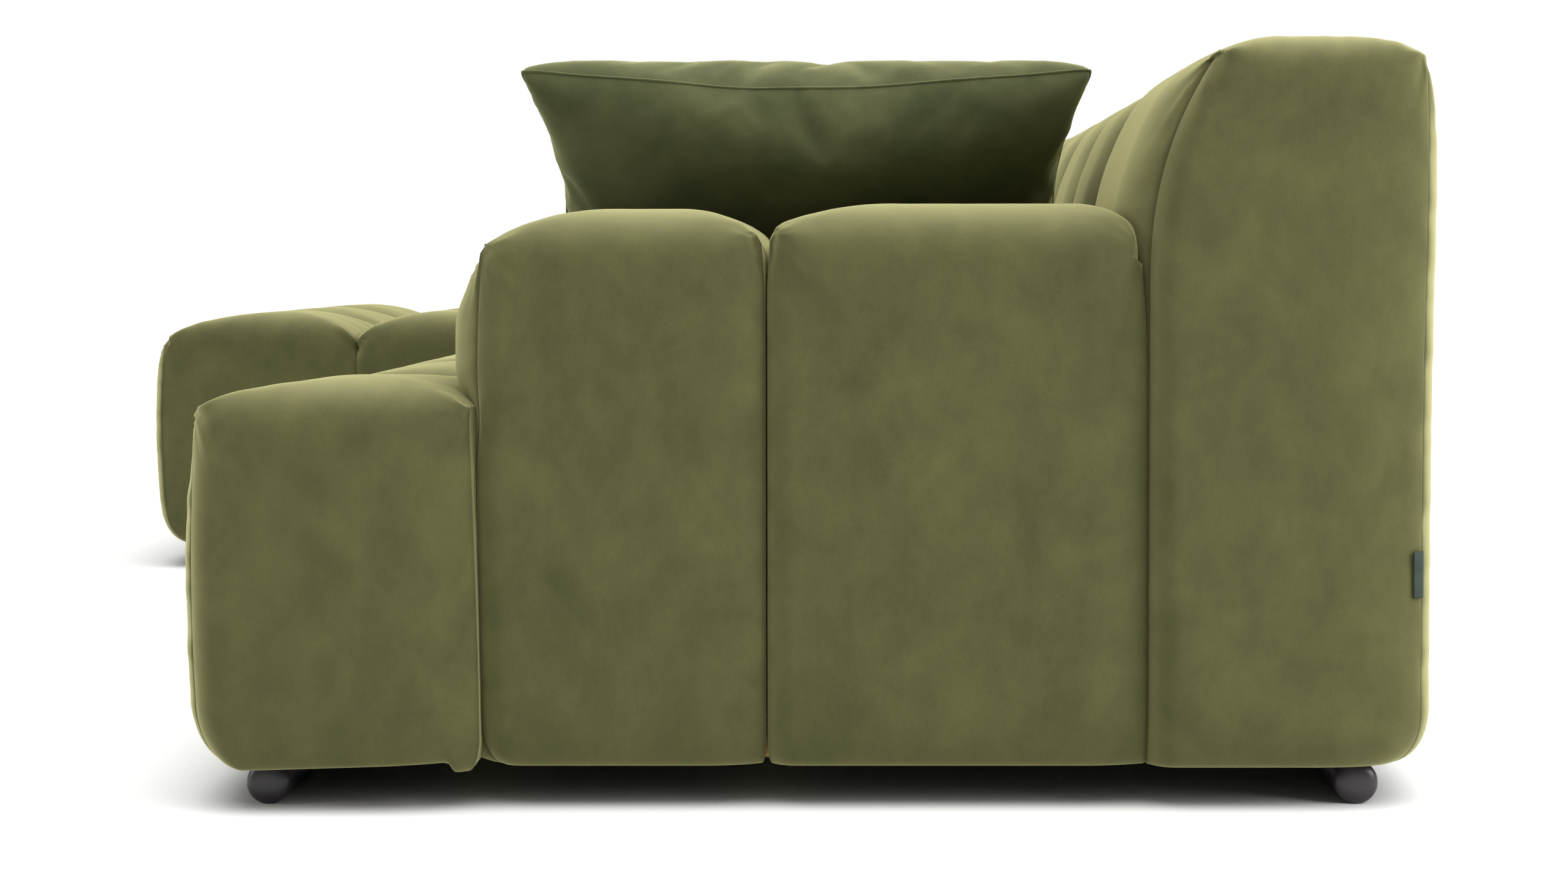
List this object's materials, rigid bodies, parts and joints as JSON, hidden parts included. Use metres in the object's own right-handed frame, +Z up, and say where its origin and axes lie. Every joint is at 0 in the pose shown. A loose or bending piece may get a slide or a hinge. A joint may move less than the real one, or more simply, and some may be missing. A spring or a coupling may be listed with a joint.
{
  "type": "corner lounge sofa",
  "caption": "Low L-shaped lounge sofa in channel-sewn olive velvet with one arm, a chaise section, round bar feet and a loose cushion.",
  "frame": {"origin": "on the floor, under the middle of the object's bounding box", "axes": "+X along the width toward the arm end, -Y toward the front where the chaise reaches out, +Z up"},
  "size_m": [2.8, 1.75, 0.72],
  "materials": {
    "olive_velvet": "short-pile velvet over wadding",
    "moss_velvet": "short-pile velvet, darker green",
    "seat_foam": "cut polyurethane foam",
    "cushion_fibre": "loose fibre in a lining",
    "elastic_webbing": "woven elastic strap",
    "lining_cloth": "black non-woven dust cloth",
    "frame_timber": "sawn softwood",
    "frame_board": "raw plywood and hardboard",
    "dark_bar": "satin black-brown lacquer",
    "zinc_steel": "zinc-plated"
  },
  "bodies": {
    "sofa": {"front_rail": "frame_timber", "rear_rail": "frame_timber", "arm_end_rail": "frame_timber", "join_end_rail": "frame_timber", "arm_inner_rail": "frame_timber", "centre_rail": "frame_timber", "base_lining": "lining_cloth", "seat_webbing": "elastic_webbing", "seat_core": "seat_foam", "seat_cover": "olive_velvet", "seat_end_cover": "olive_velvet", "arm_outer_board": "frame_board", "arm_inner_board": "frame_board", "arm_front_board": "frame_board", "arm_top_board": "frame_board", "arm_cover_front": "olive_velvet", "arm_cover_rear": "olive_velvet", "back_frame": "frame_timber", "back_panel": "frame_board", "back_core": "seat_foam", "back_cover": "olive_velvet", "foot_bar_1": "dark_bar", "foot_bar_2": "dark_bar", "foot_bar_3": "dark_bar", "foot_bar_4": "dark_bar", "foot_bolt_1": "zinc_steel", "foot_bolt_2": "zinc_steel", "foot_bolt_3": "zinc_steel", "foot_bolt_4": "zinc_steel", "socket_front": "zinc_steel", "socket_rear": "zinc_steel"},
    "chaise": {"chaise_front_rail": "frame_timber", "chaise_rear_rail": "frame_timber", "chaise_outer_rail": "frame_timber", "chaise_inner_rail": "frame_timber", "chaise_cross_rail": "frame_timber", "chaise_lining": "lining_cloth", "chaise_webbing": "elastic_webbing", "chaise_core": "seat_foam", "chaise_cover": "olive_velvet", "chaise_back_frame": "frame_timber", "chaise_back_panel": "frame_board", "chaise_back_core": "seat_foam", "chaise_back_cover": "olive_velvet", "foot_bar_5": "dark_bar", "foot_bar_6": "dark_bar", "foot_bar_7": "dark_bar", "foot_bar_8": "dark_bar", "foot_bolt_5": "zinc_steel", "foot_bolt_6": "zinc_steel", "foot_bolt_7": "zinc_steel", "foot_bolt_8": "zinc_steel", "hook_front": "zinc_steel", "hook_rear": "zinc_steel"},
    "cushion": {"cushion_case": "moss_velvet", "cushion_filling": "cushion_fibre"}
  },
  "joints": [
    {"name": "chaise_unhook", "type": "slide", "parent": "sofa", "child": "chaise", "axis": [0, 0, 1], "range_m": [0, 0.08]},
    {"name": "cushion_lift", "type": "slide", "parent": "sofa", "child": "cushion", "axis": [0, 0, 1], "range_m": [0, 0.35]}
  ]
}
